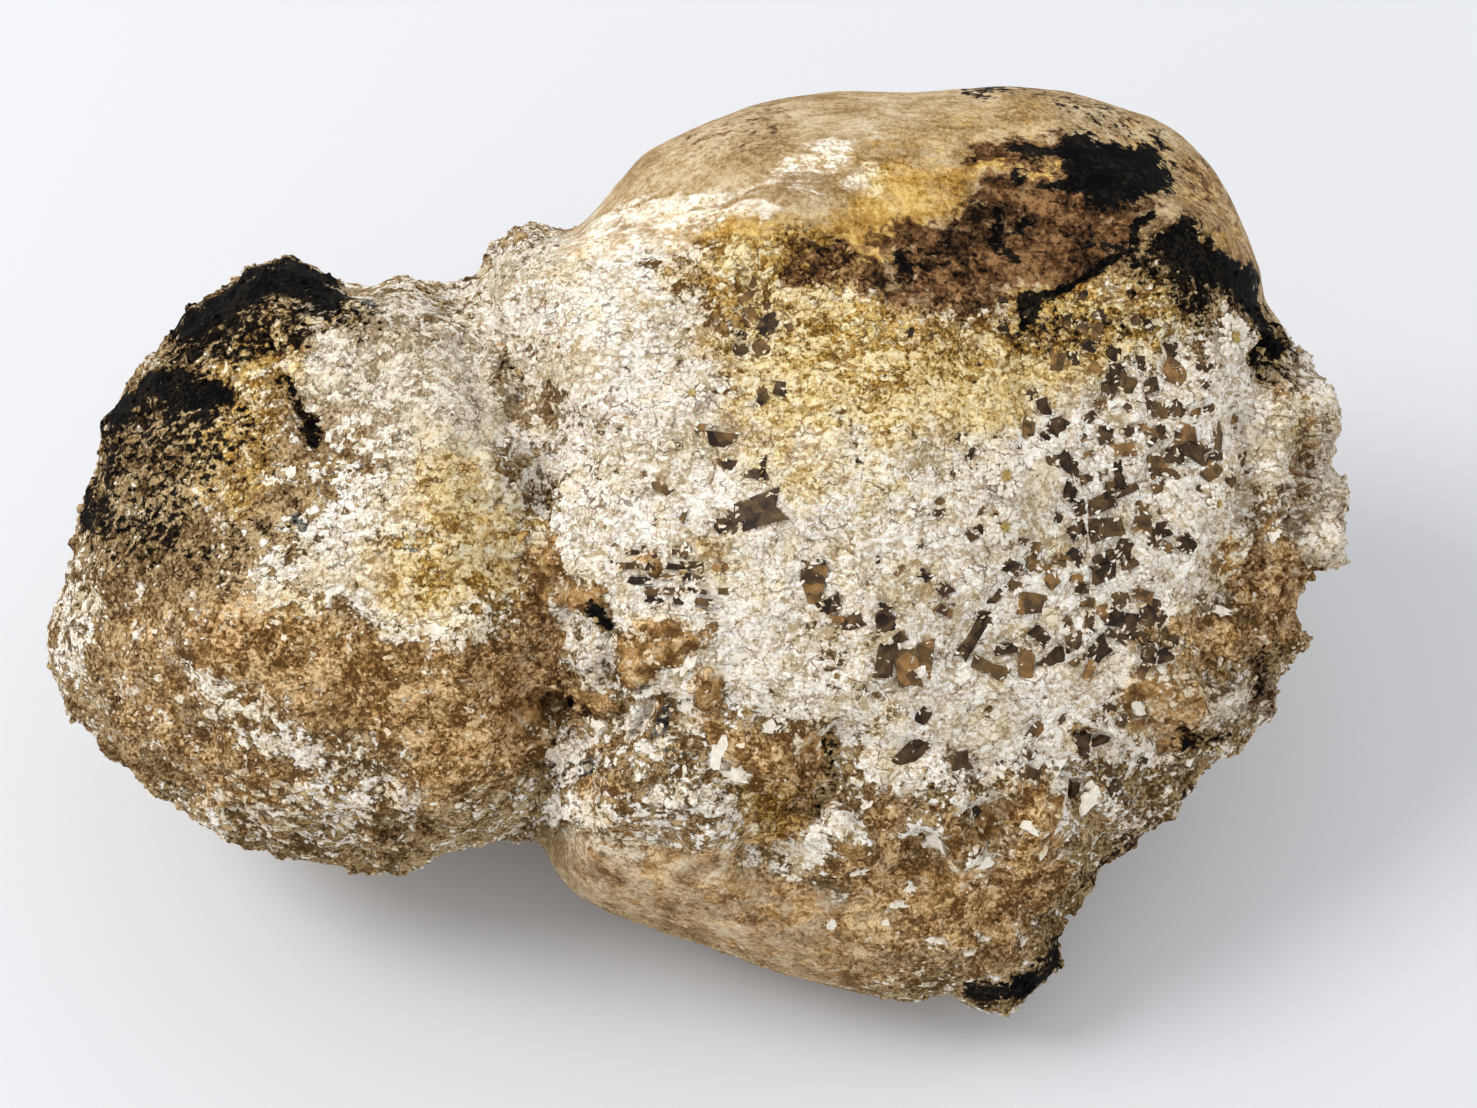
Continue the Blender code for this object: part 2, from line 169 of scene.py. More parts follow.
# Soft strokes, by zone: strength, half width and path, in the picture's pixels.
ZONES = {
    "white": strokes("""
1 85 610,330 640,430 650,540 700,610
1 95 740,480 860,550 960,590 1060,640
1 75 990,450 1100,440 1200,430 1250,430
0.8 50 1110,560 1190,530
0.85 50 740,640 860,690 960,725 1080,715 1130,700
0.9 15 775,850 812,848 845,826
0.8 13 925,835 945,842
0.8 12 968,862 992,868
0.8 14 675,665 690,705
1 16 722,752 738,772
0.6 9 584,836 625,842 664,852
0.7 16 880,745 905,770
0.9 22 1272,430 1276,470
0.6 13 1335,520 1325,555
0.9 32 640,235 600,262 560,300 500,290
0.9 22 400,622 458,628
0.9 24 270,585 325,575 385,585
0.6 22 310,540 340,520
0.5 26 78,590 72,640
0.9 7 545,808 572,798 612,802
0.5 12 540,745 556,775
0.55 18 188,662 225,700 265,738 340,765
0.5 34 240,805 330,825
0.5 18 555,520 575,600 600,680 575,760
0.8 16 650,690 700,665
0.85 24 634,722
0.4 18 942,855
0.35 40 495,500 500,550
0.95 13 768,176 800,166 836,150
0.5 12 840,145 870,128
0.75 22 560,250 610,232 660,215 705,206
0.8 13 700,218 760,200 820,186 870,178
0.3 30 420,290 470,300
0.6 18 1150,760 1190,720
0.4 18 380,790 430,798
0.5 14 960,880 920,895
0.45 26 640,800 710,812
0.7 12 868,770 898,800
0.45 11 936,830 932,850
0.5 12 974,800 998,808
0.6 18 536,716 552,745
0.4 20 440,405 475,415
0.5 20 760,450 775,462
0.6 20 712,540 730,548
0.7 11 985,785 992,835
0.7 12 1062,790 1050,850
0.6 14 1110,800 1135,828
0.6 24 1215,360 1250,385
0.5 28 370,498 414,500
0.8 18 975,618 1000,635
0.5 18 1245,480 1255,515
1 26 845,586 910,588
0.5 16 750,848 785,852
0.6 20 800,712 830,722
0.4 22 440,450 470,462
"""),
    "beige": strokes("""
1 60 345,345 400,370 450,400 440,440
0.8 34 1288,375 1312,450 1322,540
0.7 26 1222,712 1262,700
0.6 22 495,275 545,250
0.5 30 1200,590 1235,520
0.5 30 505,350 545,420
0.3 40 600,380 680,420
0.5 38 600,848 700,884 800,908
"""),
    "gold": strokes("""
0.6 55 730,270 750,330 780,390
1 50 820,330 900,375 1000,365 1060,340
0.8 34 1090,310 1150,320
0.5 60 790,435 860,455 900,480
0.75 55 450,500 485,555 430,575
0.5 26 1030,405
0.6 24 968,405 1005,415
0.7 24 752,792 778,815
0.65 38 270,355 240,400 235,480
0.4 30 340,560 300,600
0.9 30 740,240 790,250 850,245 885,225
0.6 26 880,205 940,186
0.35 30 850,180 920,150 1020,120
0.5 20 905,195 945,185
0.8 12 950,180 1012,158 1055,166
0.35 24 1130,130 1190,190 1220,240
0.3 26 1235,480 1220,560
0.4 20 1000,530 1060,545
"""),
    # The amber stroke on the dome's right edge (1195,170 to 1255,262) is partly golden-brown stain and partly
    # painted shade.
    "amber": strokes("""
0.9 52 250,640 340,675 430,702 510,702
1 15 545,565 538,620 548,690
0.7 36 505,732 440,768
0.8 20 750,240 810,247 870,240
1 12 628,566 660,562
1 13 640,622 670,618
1 17 638,670 662,652 686,642
1 12 700,682 718,690
1 14 576,592 594,600
0.9 15 564,690 592,700
0.8 9 704,640 714,634
1 14 702,682 720,715
0.9 10 626,645 634,640
1 18 728,742 762,750
0.3 22 606,740 645,745
0.6 26 546,410
0.8 28 890,320
0.7 15 505,640
0.5 18 548,540
0.7 24 986,366
0.6 26 1292,395 1302,430
0.5 18 1195,170 1225,215 1255,262
0.7 10 660,712 664,740
1 28 804,745 790,790 770,820
0.9 16 887,820 884,845
0.6 13 588,786 612,790
0.8 18 845,850 875,885
0.8 12 905,855 910,870
1 12 989,808 990,838
0.8 10 955,815 958,845
1 22 1015,800 1042,815
1 14 1078,745 1090,742
0.8 32 940,885 1000,900 1040,870
0.5 40 620,850 700,880 860,930 980,930
0.9 26 1212,650 1228,640
0.9 24 1150,690 1188,705
0.8 24 1140,715 1175,728
0.7 24 1145,632 1180,615
1 17 1283,555 1285,620
0.4 16 1265,490 1268,525
0.75 24 1228,562 1252,582
0.4 14 895,700 880,720
0.6 20 1310,560 1290,630
0.45 50 140,640 160,720 240,770
0.3 50 260,810 380,830
0.15 24 850,640 865,665
0.2 16 1235,470 1225,500
"""),
    # Rust and painted shade: most strokes are real dark brown stains. The strokes down the right flank's
    # grooves (1250,520 to 1272,700) and at the left lobe's lower edge by the floor (385,846) are painted shade.
    # The stroke on the dome's right edge (1190,175) is partly painted shade.
    "rust_and_shade": strokes("""
1 34 950,280 1010,262 1060,245
1 40 1060,240 1110,215
0.75 24 890,285 850,268 800,262
0.85 28 930,245 1000,210 1060,200 1100,205
0.6 16 880,240 925,230
0.9 14 985,152 1022,146 1060,150
0.8 15 1005,194 1055,196
0.4 13 935,800 955,812
0.55 11 892,800 912,815
0.4 9 575,816 600,822
0.6 8 1007,171 1046,179 1068,186
0.4 24 1025,325 1065,330
0.2 26 700,320 770,330
0.6 18 552,665 560,700 585,715
0.5 14 528,560 540,620
0.7 12 1272,645 1264,700
0.45 8 1250,520 1262,560 1250,610
0.6 9 1308,455 1303,505
0.35 30 690,130 760,118
0.3 22 1060,100 1120,120
0.35 26 222,488 258,508
0.4 24 1190,175 1218,212
0.4 14 745,232 795,240
0.4 16 495,358 508,385
0.3 18 540,315 552,335
0.3 24 560,405 610,415
0.4 18 385,846 430,850
0.4 18 1100,812 1138,800
0.25 40 110,600 150,660 120,700
"""),
    # Black stains and painted shadow: the stroke down the amber lump's right edge (824,738 to 817,806) and the
    # stroke in the right flank's groove (1276,651 to 1262,690) are painted shadow.
    "black_and_shadow": strokes("""
0.7 26 200,312 245,290 292,268 330,300
1 15 175,318 225,293 262,270 295,262 335,288
1 10 138,380 180,390 220,396
1 9 124,392 108,425
0.6 22 180,350 245,338 290,328
0.62 26 110,400 150,400 190,400
0.8 18 100,430 85,490 90,520
0.5 36 130,460 190,450 150,510
0.5 20 210,395 245,415
0.4 18 328,316 372,322
0.32 30 235,450 270,470
0.35 36 110,550 200,560 290,530
1 22 1080,165 1115,172 1145,172
0.8 12 1095,192 1122,194
0.8 4 1000,142 1030,143 1058,150
0.46 16 1020,148 1060,150
0.7 9 1085,146 1150,152
0.8 4 1007,171 1030,175 1046,180 1068,187
0.4 13 1075,150 1170,190
0.75 5 994,222 991,243 1014,257
0.9 5 1046,250
0.7 5 1029,216 1022,226
0.5 11 1095,240 1115,250
0.9 9 1031,312
0.6 9 1168,245 1200,260
0.44 23 910,258 952,262
0.26 36 1020,215 1085,212
0.3 20 1195,318 1205,365
0.44 26 1035,328 1070,322 1125,322
0.9 19 1185,245 1245,285 1268,345
1 10 1256,332 1262,358
0.6 7 1270,372 1276,385
0.6 14 1282,350 1296,372
0.35 6 1282,480 1292,520
0.5 9 1276,651 1262,690
0.6 5 1185,745 1220,742 1250,728
0.5 5 824,738 828,770 817,806
0.6 26 1150,260 1200,300
1 5 1145,212 1128,245 1100,268 1060,290 1030,322
0.55 6 960,92 1000,89 1040,93
0.34 12 1060,105 1120,118 1160,136
0.9 6 276,378 296,410 318,440
0.5 10 290,395
0.9 20 1062,948 1028,978
0.8 12 1028,980 980,990
0.5 24 1110,895 1160,840
1 8 566,702 574,710
0.5 5 548,478 540,500 548,540
1 10 594,618 600,628
0.6 5 505,350 520,380
0.5 12 1180,760 1185,730
0.35 14 590,715 560,740
"""),
    "grey": strokes("""
0.6 9 662,712 664,736
0.5 12 1225,700 1250,710
0.9 9 398,556 410,556
0.8 9 300,520
0.9 13 600,626
0.5 10 545,480 540,460
0.8 9 355,296 390,312
0.6 12 560,775 590,770
"""),
}
ZONE_SOFTNESS = 0.75
WANDER = 14.0  # how far the strokes' edges wander, in pixels
# How much each zone adds to the frost, the pale coat that covers the ground colour.
FROST_BY_ZONE = {"white": 0.70, "beige": 0.24, "gold": 0.26, "amber": -0.24, "rust_and_shade": -0.24, "black_and_shadow": -0.42}
AMBER_OVER_WHITE = -0.55
FROST_ON_CRUST, FROST_IN_PATCHES, FROST_IN_PITS = 0.32, 0.18, 0.35
BLACK_CORE = 0.3
GOLD_IN_WHITE = 0.45
# Stains where the picture doesn't reach: weight, and what is added to their noise.
BEHIND = {"frost": (0.9, 0.1), "rust_and_shade": (0.35, -0.1), "amber": (0.8, 0.0), "gold": (0.6, 0.0)}
# Where the bare stone shows: above the crust's upper border, and below its lower lip, where some crust stays.
DOME_BORDER = [
    (540, 262), (600, 262), (700, 246), (740, 230), (800, 218), (860, 262), (900, 300),
    (1030, 300), (1100, 262), (1140, 215), (1200, 225), (1245, 290), (1290, 330),
]
FOOT_BORDER = [(540, 812), (600, 832), (700, 856), (780, 880), (900, 910), (960, 925), (1030, 960)]
FOOT_BARE = 0.7
# The pixels between which each of them fades in or out, across the picture.
DOME_START, FOOT_START, FOOT_END = (540, 580), (535, 560), (780, 940)
# Where the crust is cragged: strength, half width and path.
CRAGS = strokes("""
1 80 1300,360 1320,520 1270,680 1180,790 1090,880 1030,940
0.8 45 600,760 760,790 900,820 1060,800
1 45 500,270 520,400 550,560 570,700 560,800
0.7 45 90,560 100,440 180,330 300,270
0.8 55 100,720 240,820 400,845
""")
# Grooves and ledges carved into the crust: height in mm (below zero digs), half width and path.
CARVINGS = strokes("""
-1.6 9 276,378 296,410 322,448
-1 8 500,330 512,360 524,392
-0.9 8 548,470 538,500 550,545
-2 10 560,702 576,710
-0.6 6 1145,212 1128,245 1100,268 1060,290 1030,322
-1.2 9 1240,360 1262,352 1272,380
0.8 12 430,470 520,500 545,560
1 10 560,795 600,806 640,812
-1.4 8 1255,500 1262,560 1245,640 1215,700
-1.2 7 1300,560 1285,610 1296,660
-1.1 12 880,835 915,845
-0.5 10 985,800 1000,810
-1 10 1090,745 1110,750
-0.9 8 650,700 640,730
1.5 17 638,668 662,652 686,642
1.1 13 640,622 668,618
0.9 11 628,566 660,562
0.9 20 1231,337
0.8 17 1002,478
0.8 15 1002,524
-1.6 9 1262,346
1.5 26 800,745 790,790 775,820
-1.3 7 828,735 834,770 820,815
1.5 19 738,735 762,750
1.4 13 722,750 736,770
1.5 22 1015,790 1040,812
1.6 22 1212,650 1228,640
1.4 20 1155,690 1185,700
1.3 14 572,595 592,612
1.2 14 703,685 712,722
1.5 20 850,832 885,850
1.2 16 925,775 960,790
-1.5 7 604,640 618,690 612,740
-1.3 7 690,702 730,716
-1.3 8 845,795 870,818
-1.4 8 932,830 950,875
-1.3 7 985,830 1000,872
-1.3 7 1075,780 1085,830
-1.4 6 1130,722 1160,738 1205,735
-1.3 6 1240,420 1248,470 1240,520
-1.3 6 1298,395 1306,470 1296,525
-1.1 5 1322,420 1328,480
-1.2 6 650,690 640,730
0.9 9 1312,500 1338,560
1.4 9 1272,400 1280,470 1272,530
1.3 9 1322,430 1332,500 1326,560
1.2 9 1268,560 1262,640
""")
# Broad swells that bring the outline in or out: height in mm, half width and path.
SWELLS = strokes("""
-1.2 40 165,325 200,290 240,262 320,262
-0.9 32 390,270 480,248 525,225
0.8 30 600,212 640,165
-1.2 22 1278,302 1292,325
-1.2 30 1345,475 1357,510 1356,560 1318,590
-1.4 30 1290,690 1265,740 1230,770
-1.5 28 1140,860 1105,890 1083,920
-1.5 40 240,855 300,872 380,885 440,870
1.7 45 520,820 600,890 680,920 800,960 880,980
2 28 1000,1000 1040,970
-0.9 28 62,540 56,580
-1 26 85,740
-1 26 178,820
""")


def turned_to_eye(points, normals):
    """The cosine between each normal and the direction to the camera."""
    towards = np.array(camera.matrix_world.translation) - points
    return (normals * towards).sum(axis=1) / np.linalg.norm(towards, axis=1)


def nearness(places, half_width, path, soft):
    """1 along a path, falling to 0 beyond its half width."""
    path = np.array(path, float)
    nearest = np.linalg.norm(places - path[0], axis=1)
    for start, end in zip(path[:-1], path[1:]):
        along = end - start
        share = np.clip((places - start) @ along / max(along @ along, 1.0), 0.0, 1.0)
        away = np.linalg.norm(places - start - share[:, None] * along, axis=1)
        nearest = np.minimum(nearest, away)
    return 1.0 - smoothstep(half_width * (1.0 - soft), half_width * (1.0 + soft), nearest)


def field(points, name):
    """The named noise at each point, about -1 to 1."""
    wavelength, octaves, seed = FIELDS[name]
    scale = 1.0 / (wavelength * MM)
    shift = Vector([seed * step for step in SEED_SHIFT])
    if octaves == 1:
        return np.array([noise.noise(Vector(p) * scale + shift) for p in points])
    return np.array([
        noise.fractal(Vector(p) * scale + shift, FIELD_ROUGHNESS, FIELD_LACUNARITY, octaves) for p in points
    ])


def wandered(points, places):
    """The picture places, shifted by a wandering few pixels so that painted edges are ragged."""
    return places + np.column_stack([field(points, "wander across"), field(points, "wander down")]) * WANDER


def zone_shares(points, normals):
    """Each zone's share at each point, its wandered picture place, and how far it faces the camera."""
    places = wandered(points, picture_place(points))
    overhang = 0.35 * np.clip(field(points, "overhang"), 0.0, 1.0)
    facing = smoothstep(-0.15, 0.25, turned_to_eye(points, normals) + overhang)
    shares = {}
    for zone, zone_strokes in ZONES.items():
        share = np.zeros(len(points))
        for strength, half_width, path in zone_strokes:
            stroke = strength * nearness(places, half_width, path, ZONE_SOFTNESS)
            share = share + stroke - share * stroke
        shares[zone] = share * facing
    shares["black_and_shadow"] += BLACK_CORE * shares["black_and_shadow"] ** 4
    gold = shares["gold"] + GOLD_IN_WHITE * shares["white"] * field(points, "gold in white")
    shares["gold"] = np.clip(gold, 0.0, 1.0)
    x, y = places.T
    dome = smoothstep(-5.0, 5.0, np.interp(x, *np.transpose(DOME_BORDER)) - y) * smoothstep(*DOME_START, x)
    foot = smoothstep(-8.0, 8.0, y - np.interp(x, *np.transpose(FOOT_BORDER)))
    foot *= FOOT_BARE * smoothstep(*FOOT_START, x) * (1.0 - smoothstep(*FOOT_END, x))
    shares["bare"] = 1.0 - (1.0 - np.maximum(dome, foot)) * smoothstep(-0.1, 0.2, facing)
    crust = 1.0 - shares["bare"]
    frost = FROST_ON_CRUST * crust + FROST_IN_PATCHES * crust * field(points, "patches")
    for zone, weight in FROST_BY_ZONE.items():
        frost += weight * shares[zone]
    shares["frost"] = frost + AMBER_OVER_WHITE * shares["amber"] * shares["white"]
    behind = 1.0 - facing
    for zone, (weight, level) in BEHIND.items():
        stain = np.clip(field(points, f"{zone} behind") + level, 0.0, 1.0)
        shares[zone] = shares[zone] + weight * behind * stain
    shares["frost"] = np.clip(shares["frost"], 0.0, 1.0)
    return shares, places, facing


def store(mesh, shares):
    for name, values in shares.items():
        attribute = mesh.attributes.new(name, "FLOAT", "POINT")
        attribute.data.foreach_set("value", np.asarray(values, np.float32))


# ---- where the crystals lie

# Fields of brown crystal faces: strength, half width, half length of a face and path, in the picture's pixels.
BROWN_FIELDS = strokes("""
0.9 34 9 1090,350 1185,385
0.8 50 9 1065,430 1140,440 1205,450
0.82 36 10 1080,500 1150,530
0.9 32 10 1035,575 1110,580
0.7 28 10 1020,630 1105,645
0.85 34 10 1120,610 1160,640
0.3 20 8 885,610 930,640
0.5 22 10 815,590 862,607
0.4 26 8 715,440 750,470
0.6 26 9 760,300 778,375
0.5 11 6 965,380 975,530
0.6 30 8 1020,325 1120,325
0.2 20 7 775,545 800,552
0.35 40 9 1040,750 1110,745 1150,790
0.18 40 9 900,770 980,775
0.16 60 6 640,420 720,500 660,560
0.14 90 6 820,500 920,560 1000,440
0.22 40 7 930,350 1040,370
""", 3)
# Crystal faces with a place of their own: half length and half width in pixels, turn in degrees, place.
SINGLE_CRYSTALS = strokes("""
22 15 14 758,513
13 7 25 728,523
19 12 75 808,588
10 7 20 830,606
10 9 165 885,622
17 9 80 884,660
20 11 100 904,665
16 7 85 926,657
8 8 10 983,619
25 6 58 973,642
19 7 155 989,669
19 8 88 1024,664
17 8 175 1060,657
13 9 40 1099,647
14 5 155 1114,637
21 11 172 1039,607
14 5 8 1010,647
14 8 165 1120,618
12 8 160 1140,594
17 8 10 1102,573
14 8 20 1104,561
10 6 170 1060,562
8 7 45 1053,582
9 5 160 1077,580
13 5 55 995,596
12 5 150 947,611
8 5 150 926,574
8 5 160 1016,586
13 10 80 1079,745
15 7 20 1100,744
13 9 10 961,766
11 7 160 1028,773
11 8 170 1080,790
9 8 30 1114,789
18 8 45 910,754
8 7 60 922,718
14 8 100 1171,352
12 10 160 1176,375
13 8 160 1153,409
8 7 20 1150,389
11 6 60 1132,385
10 8 95 1116,374
9 5 140 1096,371
8 6 100 1139,363
7 5 110 1073,361
8 6 40 1128,433
10 9 60 1058,426
7 6 10 1050,461
11 8 140 1068,462
12 6 12 1123,451
13 8 30 1157,437
12 8 100 1156,466
8 5 150 1171,471
19 9 160 1193,451
18 13 12 1219,434
9 8 90 1187,432
9 8 70 1176,412
11 9 150 1212,473
8 5 20 1087,482
7 5 5 1108,487
7 5 20 1157,486
9 8 80 1070,494
9 6 100 1079,507
14 8 15 1100,503
13 4 15 1125,492
16 9 10 1107,528
11 7 30 1075,533
14 9 165 1143,526
9 7 15 1161,530
17 6 172 722,437
12 9 60 770,322
10 8 110 762,345
12 5 165 730,462
12 5 150 660,487
""", 3)
# Rows of thin crystal plates seen edge on: first x, last x and y, in pixels.
PLATE_ROWS = [(625, 690, 553), (612, 715, 566), (618, 700, 578), (632, 718, 590), (640, 690, 601)]
# Rosettes of pale blades: picture place and radius in pixels.
ROSETTES = [((1231, 337), 19), ((1002, 478), 17), ((1002, 524), 15), ((690, 395), 11), ((1215, 505), 12)]
# A rosette's rings: distance from its middle, count of blades, tilt in degrees and half length, in radii.
RINGS = [(0.92, 15, 8.0, 0.26), (0.64, 12, 20.0, 0.24), (0.38, 9, 32.0, 0.2), (0.12, 5, 20.0, 0.18)]
PETAL = [(-0.8, -0.35), (0.2, -0.6), (1.0, -0.25), (0.95, 0.3), (0.1, 0.6), (-0.8, 0.35)]
# Pale chips: half length and half width in pixels, turn in degrees, place.
PALE_CHIPS = strokes("""
18 9 73 723,749
14 10 160 738,774
17 13 80 934,847
14 7 10 985,862
9 5 20 864,872
8 6 50 912,888
10 5 10 897,904
6 4 40 888,923
7 6 0 830,923
6 4 0 971,950
7 5 30 1014,933
15 4 165 934,939
9 6 90 867,799
7 4 120 897,786
13 6 160 1034,831
9 7 60 1044,851
15 8 50 1095,800
11 7 150 1139,707
9 5 40 1276,536
8 6 70 1199,584
7 5 120 1256,597
12 5 170 1221,613
14 8 50 686,664
12 7 20 650,691
13 8 100 685,703
13 7 160 594,720
12 5 10 729,676
12 6 10 743,658
5 4 0 677,845
12 7 35 768,728
11 7 30 276,814
7 5 60 293,473
9 6 80 87,608
13 6 170 438,628
""", 3)
# The lattice of places tried for the scattered faces, in pixels.
LATTICE = 21.0
LATTICE_X, LATTICE_Y = (600.0, 1270.0), (280.0, 830.0)
COMMON_TURNS = [0.15, 1.65, 2.5, 0.75]


def crystal_layout():
    """Each crystal face's place, half length, half width (pixels) and turn (radians)."""
    rng = np.random.default_rng(SEEDS["layout"])
    columns, rows = np.meshgrid(np.arange(*LATTICE_X, LATTICE), np.arange(*LATTICE_Y, LATTICE * 0.85))
    columns[::2] += LATTICE / 2
    places = np.column_stack([columns.ravel(), rows.ravel()])
    places += rng.uniform(-7.0, 7.0, places.shape)
    chance, size = np.zeros(len(places)), np.full(len(places), 6.0)
    for strength, half_width, half_length, path in BROWN_FIELDS:
        near = strength * nearness(places, half_width, path, 0.45)
        size = np.where(near > chance, half_length, size)
        chance = np.maximum(chance, near)
    kept = rng.uniform(0.0, 1.0, len(places)) < chance
    for length, _, _, [place] in SINGLE_CRYSTALS:
        kept &= np.linalg.norm(places - place, axis=1) > 0.9 * length + 4.0
    places, size = places[kept], size[kept]
    lengths = size * rng.uniform(0.55, 1.2, len(size))
    widths = lengths * rng.uniform(0.35, 0.85, len(size))
    turns = rng.choice(COMMON_TURNS, len(size)) + rng.normal(0.0, 0.3, len(size))
    rows = list(np.column_stack([places, lengths, widths, turns]))
    rows += [(*place, length, width, math.radians(-turn)) for length, width, turn, [place] in SINGLE_CRYSTALS]
    for first, last, y in PLATE_ROWS:
        x = first + rng.uniform(0.0, 12.0)
        while x < last:
            length = rng.uniform(5.0, 12.0)
            shift, width, turn = rng.uniform(-1.5, 1.5), rng.uniform(2.2, 4.2), rng.normal(0.05, 0.07)
            rows.append((x + length, y + shift, length, width, turn))
            x += 2.0 * length + rng.uniform(2.0, 9.0)
    return np.array(rows)


crystal_rows = crystal_layout()


# ---- the stone

def vertex_arrays(mesh):
    points = np.empty(len(mesh.vertices) * 3)
    mesh.vertices.foreach_get("co", points)
    normals = np.empty(len(mesh.vertices) * 3, np.float32)
    mesh.vertex_normals.foreach_get("vector", normals)
    return points.reshape(-1, 3), normals.reshape(-1, 3).astype(float)


def even_out(mesh):
    """Takes the facets off by averaging each point with its neighbours."""
    points, _ = vertex_arrays(mesh)
    edges = np.empty(len(mesh.edges) * 2, np.int32)
    mesh.edges.foreach_get("vertices", edges)
    a, b = edges.reshape(-1, 2).T
    counts = np.bincount(a, minlength=len(points)) + np.bincount(b, minlength=len(points))
    for _ in range(EVENING_ROUNDS):
        around = [
            np.bincount(a, points[b, axis], len(points)) + np.bincount(b, points[a, axis], len(points))
            for axis in range(3)
        ]
        points = (1.0 - EVENING_SHARE) * points + EVENING_SHARE * np.column_stack(around) / counts[:, None]
    mesh.vertices.foreach_set("co", points.ravel())
    mesh.update()


def make_stone():
    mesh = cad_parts["hokutolite"].data.copy()
    mesh.materials.clear()
    form = bmesh.new()
    form.from_mesh(mesh)
    bmesh.ops.remove_doubles(form, verts=form.verts, dist=WELD)
    form.to_mesh(mesh)
    form.free()
    obj = add_object("stone", mesh)
    remesh = obj.modifiers.new("even mesh", "REMESH")
    remesh.mode = "VOXEL"
    remesh.voxel_size = VOXEL
    evaluated = obj.evaluated_get(bpy.context.evaluated_depsgraph_get())
    obj.data = bpy.data.meshes.new_from_object(evaluated)
    obj.modifiers.clear()
    obj.data.shade_smooth()
    even_out(obj.data)
    return obj


def crystal_pits(exact):
    """1 where a crystal face lies sunk in the crust, 0 away from it."""
    pits = np.zeros(len(exact))
    for x, y, length, width, _ in crystal_rows:
        near = np.nonzero(np.abs(exact - (x, y)).max(axis=1) < 1.6 * length)[0]
        away = np.linalg.norm(exact[near] - (x, y), axis=1)
        reach = 0.6 * (length + width)
        pits[near] = np.maximum(pits[near], 1.0 - smoothstep(0.75 * reach, 1.25 * reach, away))
    return pits


def roughen(mesh):
    """Lumps, grains, carved grooves and craggy ledges on the crust; faint swells on the bare stone."""
    points, normals = vertex_arrays(mesh)
    shares, places, facing = zone_shares(points, normals)
    crust = 1.0 - shares["bare"]
    crag = np.zeros(len(points))
    for strength, half_width, path in CRAGS:
        crag = np.maximum(crag, strength * nearness(places, half_width, path, 0.6))
    crag *= crust
    shares["clean"] = np.clip(2.0 * shares["amber"] * shares["white"], 0.0, 1.0)
    crust *= 1.0 - SMOOTHED * shares["clean"]
    crust *= 1.0 - SMOOTHED * np.clip(shares["black_and_shadow"], 0.0, 1.0)
    lift = SWELL_HEIGHT * field(points, "swells") + RIPPLE_HEIGHT * field(points, "ripples")
    lift += crust * (LUMP_HEIGHT + LUMP_ON_CRAG * crag) * field(points, "lumps")
    lift += crust * (BUMP_HEIGHT + BUMP_ON_CRAG * crag) * field(points, "bumps")
    lift += crag * LEDGE_HEIGHT * (np.round(field(points, "ledges") * LEDGE_STEPS) / LEDGE_STEPS)
    clumps = smoothstep(0.05, 0.4, field(points, "clumps"))
    lift += crust * CLUMP_HEIGHT * clumps * (shares["amber"] * CLUMP_ON_AMBER + crag * CLUMP_ON_CRAG)
    for height, half_width, path in CARVINGS:
        lift += height * nearness(places, half_width, path, 0.7) * facing
    exact = picture_place(points)
    rim = smoothstep(-0.75, -0.15, turned_to_eye(points, normals))
    for height, half_width, path in SWELLS:
        lift += height * nearness(exact, half_width, path, 0.9) * rim
    pits = crystal_pits(exact)
    lift -= PIT_DEPTH * pits * facing
    ringed = np.zeros(len(points))
    for place, radius in ROSETTES:
        ringed = np.maximum(ringed, nearness(exact, radius, [place], 0.3))
    shares["pit"] = np.maximum(pits, ringed) * facing
    shares["frost"] = np.clip(shares["frost"] + FROST_IN_PITS * shares["pit"] * shares["white"], 0.0, 1.0)
    points = np.clip(points + normals * (lift * MM)[:, None], *np.array(cad_box))
    mesh.vertices.foreach_set("co", points.ravel())
    mesh.update()
    store(mesh, shares)
    return shares, normals


stone = make_stone()
stone_shares, broad_normals = roughen(stone.data)
stone_points, _ = vertex_arrays(stone.data)
stone_places = picture_place(stone_points)
clear_of_floor = stone_points[:, 2] > LEAST_HEIGHT

seen_index = np.nonzero(turned_to_eye(stone_points, broad_normals) > 0.2)[0]
seen_tree = kdtree.KDTree(len(seen_index))
for order, index in enumerate(seen_index):
    seen_tree.insert((*stone_places[index], 0.0), order)
seen_tree.balance()


def stone_at(place):
    """The index of the stone's point seen at a picture place."""
    return seen_index[seen_tree.find((place[0], place[1], 0.0))[1]]


# ---- crystals, flakes and grains

def scattered(name, shapes, faces, centres, frames, tones, shares):
    """One mesh of many small solids: each has its own points, place and frame."""
    count, size = shapes.shape[:2]
    points = np.einsum("nij,nkj->nki", frames, shapes) + centres[:, None, :]
    every = [tuple(v + size * n for v in face) for n in range(count) for face in faces]
    mesh = bpy.data.meshes.new(name)
    mesh.from_pydata(points.reshape(-1, 3).tolist(), [], every)
    repeated = {key: np.repeat(values, size) for key, values in shares.items()}
    repeated["tone"] = np.repeat(tones, size)
    store(mesh, repeated)
    return add_object(name, mesh)


def prisms(name, outlines, thicknesses, centres, frames, tones, shares):
    """Flat-topped solids from outlines (count, corners, 2), tops at the centres' height."""
    count, sides = outlines.shape[:2]
    top = np.concatenate([outlines, np.zeros((count, sides, 1))], axis=2)
    bottom = top.copy()
    bottom[:, :, 2] = -thicknesses[:, None]
    faces = [tuple(range(sides, 2 * sides)), tuple(range(sides - 1, -1, -1))]
    faces += [(i, (i + 1) % sides, (i + 1) % sides + sides, i + sides) for i in range(sides)]
    return scattered(name, np.concatenate([bottom, top], axis=1), faces, centres, frames, tones, shares)


